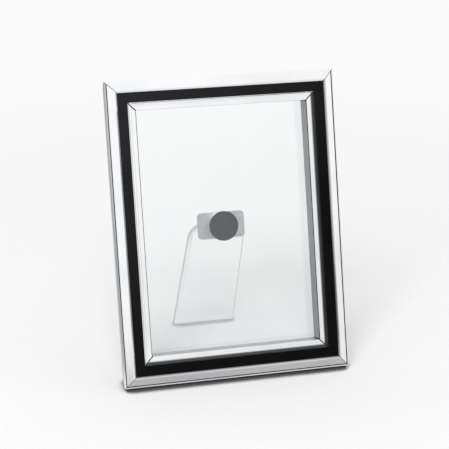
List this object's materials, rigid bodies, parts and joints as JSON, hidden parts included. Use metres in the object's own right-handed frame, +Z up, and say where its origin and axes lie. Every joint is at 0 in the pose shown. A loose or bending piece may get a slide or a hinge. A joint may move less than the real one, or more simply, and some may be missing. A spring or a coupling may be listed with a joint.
{
  "type": "tabletop picture frame",
  "caption": "Upright picture frame of mitred polished rails with a black inlay, clear glazing and back, and a hinged clear easel leg.",
  "frame": {"origin": "middle of the whole footprint, at the level of the surface it stands on", "axes": "+Z up, the front faces -Y, +X is to the right as seen from the front"},
  "size_m": [0.1654, 0.1175, 0.2103],
  "materials": {
    "polished_rail": "bright polished and plated",
    "black_inlay": "gloss black enamel",
    "key_zinc": "as cast",
    "screw_steel": "zinc plated",
    "clear_glass": "clear",
    "clear_panel": "clear cast acrylic",
    "clip_steel": "rolled spring steel",
    "pad_foam": "dark grey bonding pad",
    "puck_steel": "polished",
    "hinge_steel": "satin nickel",
    "clear_leg": "clear cast acrylic, polished edges"
  },
  "bodies": {
    "frame": {"rail_top": "polished_rail", "rail_bottom": "polished_rail", "rail_left": "polished_rail", "rail_right": "polished_rail", "inlay_top": "black_inlay", "inlay_bottom": "black_inlay", "inlay_left": "black_inlay", "inlay_right": "black_inlay", "corner_key_top_left": "key_zinc", "corner_key_top_right": "key_zinc", "corner_key_bottom_left": "key_zinc", "corner_key_bottom_right": "key_zinc", "key_screws": "screw_steel", "clip_screws": "screw_steel", "plate_screws": "screw_steel", "front_glass": "clear_glass", "back_panel": "clear_panel", "pivot_pad": "pad_foam", "pivot_puck": "puck_steel", "hinge_plate": "hinge_steel", "hinge_pin": "hinge_steel"},
    "leg": {"easel_leg": "clear_leg", "leg_leaf": "hinge_steel", "leg_rivets": "hinge_steel"},
    "clip_upper_left": {"turn_clip_upper_left": "clip_steel"},
    "clip_lower_left": {"turn_clip_lower_left": "clip_steel"},
    "clip_upper_right": {"turn_clip_upper_right": "clip_steel"},
    "clip_lower_right": {"turn_clip_lower_right": "clip_steel"}
  },
  "joints": [
    {"name": "leg_fold", "type": "hinge", "parent": "frame", "child": "leg", "pos_m": [0, 0.00059, 0.09813], "axis": [1, 0, 0], "range_deg": [-41, 0]},
    {"name": "clip_turn_upper_left", "type": "hinge", "parent": "frame", "child": "clip_upper_left", "pos_m": [-0.0715, 0.00149, 0.15323], "axis": [0, 0.9668, -0.2554], "continuous": true},
    {"name": "clip_turn_lower_left", "type": "hinge", "parent": "frame", "child": "clip_lower_left", "pos_m": [-0.0715, -0.02584, 0.04977], "axis": [0, 0.9668, -0.2554], "continuous": true},
    {"name": "clip_turn_upper_right", "type": "hinge", "parent": "frame", "child": "clip_upper_right", "pos_m": [0.0715, 0.00149, 0.15323], "axis": [0, 0.9668, -0.2554], "continuous": true},
    {"name": "clip_turn_lower_right", "type": "hinge", "parent": "frame", "child": "clip_lower_right", "pos_m": [0.0715, -0.02584, 0.04977], "axis": [0, 0.9668, -0.2554], "continuous": true}
  ]
}
